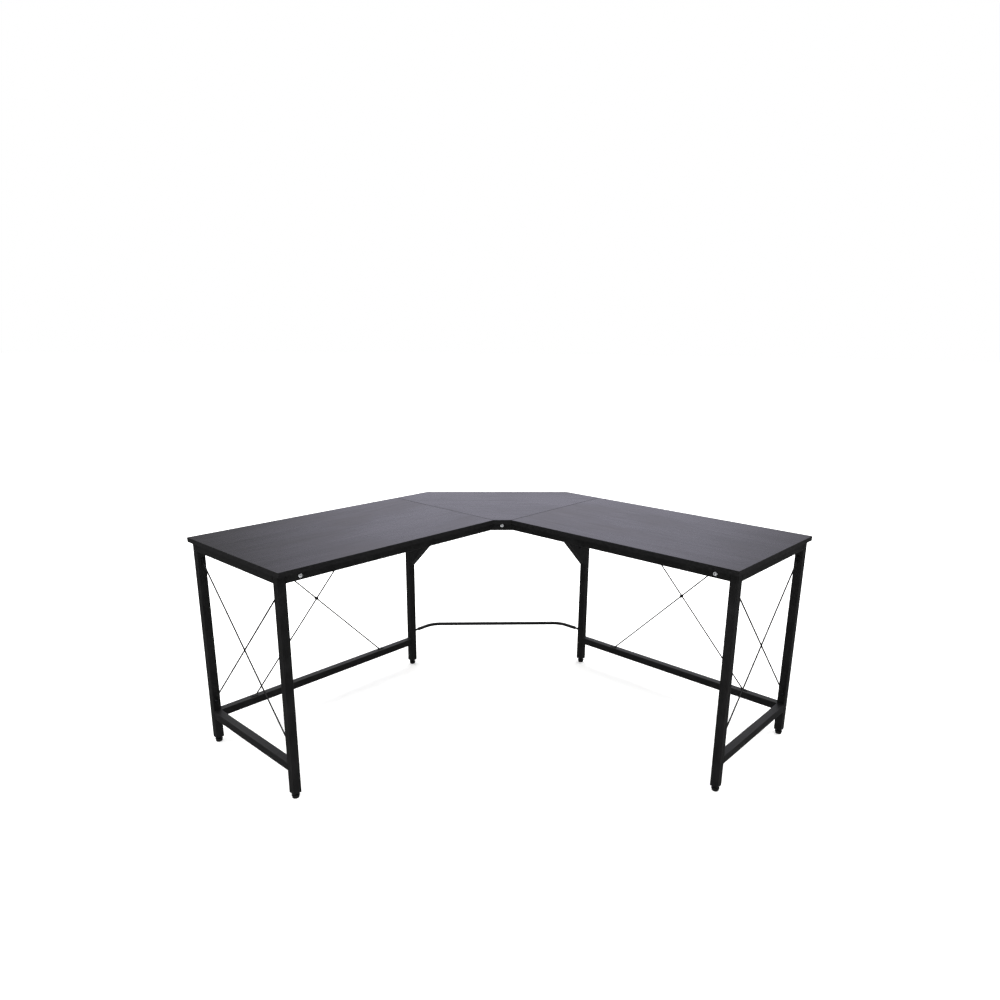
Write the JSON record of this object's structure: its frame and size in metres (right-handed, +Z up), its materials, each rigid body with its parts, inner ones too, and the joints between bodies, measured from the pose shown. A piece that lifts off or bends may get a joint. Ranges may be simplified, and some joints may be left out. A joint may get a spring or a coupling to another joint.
{
  "type": "corner desk",
  "caption": "L-shaped corner desk with three dark boards, a square steel tube frame, crossed wire braces and levelling glides.",
  "frame": {"origin": "on the floor, at the centre of the desk's square footprint", "axes": "+Z up; the right wing runs along +X at the back of the part (+Y), the left wing runs along -Y at -X, and the cut-off outer corner is at -X +Y"},
  "size_m": [1.5, 1.5, 0.755],
  "materials": {
    "melamine_board": "black wood-grain melamine, satin",
    "edge_band": "black edge band, satin",
    "frame_steel": "black powder coat, fine texture",
    "wire_rod": "black powder coat",
    "zinc_bolt": "bright zinc plate",
    "black_screw": "black zinc plate",
    "black_plastic": "moulded, matt",
    "nylon_foot": "moulded nylon, matt"
  },
  "bodies": {
    "desk_frame": {"top_left": "melamine_board", "top_right": "melamine_board", "top_corner": "melamine_board", "edge_band_left": "edge_band", "edge_band_right": "edge_band", "edge_band_corner": "edge_band", "leg_rear_left": "frame_steel", "leg_front_left": "frame_steel", "leg_inner_left": "frame_steel", "rail_end_left": "frame_steel", "rail_front_left": "frame_steel", "rail_rear_left": "frame_steel", "rail_cross_left": "frame_steel", "stretcher_end_left": "frame_steel", "stretcher_rear_left": "frame_steel", "gusset_left": "frame_steel", "wire_clip_left": "black_plastic", "wire_end_left_a": "wire_rod", "wire_end_left_b": "wire_rod", "wire_rear_left_a": "wire_rod", "wire_rear_left_b": "wire_rod", "leg_rear_right": "frame_steel", "leg_front_right": "frame_steel", "leg_inner_right": "frame_steel", "rail_end_right": "frame_steel", "rail_front_right": "frame_steel", "rail_rear_right": "frame_steel", "rail_cross_right": "frame_steel", "stretcher_end_right": "frame_steel", "stretcher_rear_right": "frame_steel", "gusset_right": "frame_steel", "wire_clip_right": "black_plastic", "wire_end_right_a": "wire_rod", "wire_end_right_b": "wire_rod", "wire_rear_right_a": "wire_rod", "wire_rear_right_b": "wire_rod", "rail_front_corner": "frame_steel", "rail_rear_corner": "frame_steel", "corner_bar": "frame_steel", "corner_plate": "frame_steel", "rail_stubs": "frame_steel", "rail_bolts": "zinc_bolt", "corner_bolt": "zinc_bolt", "gusset_lugs": "frame_steel", "gusset_bolts": "black_screw", "board_screws": "black_screw", "frame_screws": "black_screw", "leg_plugs": "black_plastic"},
    "foot_rear_left": {"glide_pad_rear_left": "nylon_foot"},
    "screw_rear_left": {"glide_stem_rear_left": "black_screw"},
    "foot_front_left": {"glide_pad_front_left": "nylon_foot"},
    "screw_front_left": {"glide_stem_front_left": "black_screw"},
    "foot_inner_left": {"glide_pad_inner_left": "nylon_foot"},
    "screw_inner_left": {"glide_stem_inner_left": "black_screw"},
    "foot_rear_right": {"glide_pad_rear_right": "nylon_foot"},
    "screw_rear_right": {"glide_stem_rear_right": "black_screw"},
    "foot_front_right": {"glide_pad_front_right": "nylon_foot"},
    "screw_front_right": {"glide_stem_front_right": "black_screw"},
    "foot_inner_right": {"glide_pad_inner_right": "nylon_foot"},
    "screw_inner_right": {"glide_stem_inner_right": "black_screw"}
  },
  "joints": [
    {"name": "glide_lift_rear_left", "type": "slide", "parent": "desk_frame", "child": "foot_rear_left", "axis": [0, 0, -1], "range_m": [0, 0.012]},
    {"name": "glide_turn_rear_left", "type": "hinge", "parent": "foot_rear_left", "child": "screw_rear_left", "pos_m": [-0.718, -0.728, 0.0155], "axis": [0, 0, -1], "range_deg": [0, 3470]},
    {"name": "glide_lift_front_left", "type": "slide", "parent": "desk_frame", "child": "foot_front_left", "axis": [0, 0, -1], "range_m": [0, 0.012]},
    {"name": "glide_turn_front_left", "type": "hinge", "parent": "foot_front_left", "child": "screw_front_left", "pos_m": [-0.222, -0.728, 0.0155], "axis": [0, 0, -1], "range_deg": [0, 3470]},
    {"name": "glide_lift_inner_left", "type": "slide", "parent": "desk_frame", "child": "foot_inner_left", "axis": [0, 0, -1], "range_m": [0, 0.012]},
    {"name": "glide_turn_inner_left", "type": "hinge", "parent": "foot_inner_left", "child": "screw_inner_left", "pos_m": [-0.718, 0.184, 0.0155], "axis": [0, 0, -1], "range_deg": [0, 3470]},
    {"name": "glide_lift_rear_right", "type": "slide", "parent": "desk_frame", "child": "foot_rear_right", "axis": [0, 0, -1], "range_m": [0, 0.012]},
    {"name": "glide_turn_rear_right", "type": "hinge", "parent": "foot_rear_right", "child": "screw_rear_right", "pos_m": [0.728, 0.718, 0.0155], "axis": [0, 0, -1], "range_deg": [0, 3470]},
    {"name": "glide_lift_front_right", "type": "slide", "parent": "desk_frame", "child": "foot_front_right", "axis": [0, 0, -1], "range_m": [0, 0.012]},
    {"name": "glide_turn_front_right", "type": "hinge", "parent": "foot_front_right", "child": "screw_front_right", "pos_m": [0.728, 0.222, 0.0155], "axis": [0, 0, -1], "range_deg": [0, 3470]},
    {"name": "glide_lift_inner_right", "type": "slide", "parent": "desk_frame", "child": "foot_inner_right", "axis": [0, 0, -1], "range_m": [0, 0.012]},
    {"name": "glide_turn_inner_right", "type": "hinge", "parent": "foot_inner_right", "child": "screw_inner_right", "pos_m": [-0.184, 0.718, 0.0155], "axis": [0, 0, -1], "range_deg": [0, 3470]}
  ],
  "couplings": [
    {"joint": "glide_turn_rear_left", "follows": "glide_lift_rear_left", "rad_per_m": 5026.5},
    {"joint": "glide_turn_front_left", "follows": "glide_lift_front_left", "rad_per_m": 5026.5},
    {"joint": "glide_turn_inner_left", "follows": "glide_lift_inner_left", "rad_per_m": 5026.5},
    {"joint": "glide_turn_rear_right", "follows": "glide_lift_rear_right", "rad_per_m": 5026.5},
    {"joint": "glide_turn_front_right", "follows": "glide_lift_front_right", "rad_per_m": 5026.5},
    {"joint": "glide_turn_inner_right", "follows": "glide_lift_inner_right", "rad_per_m": 5026.5}
  ]
}
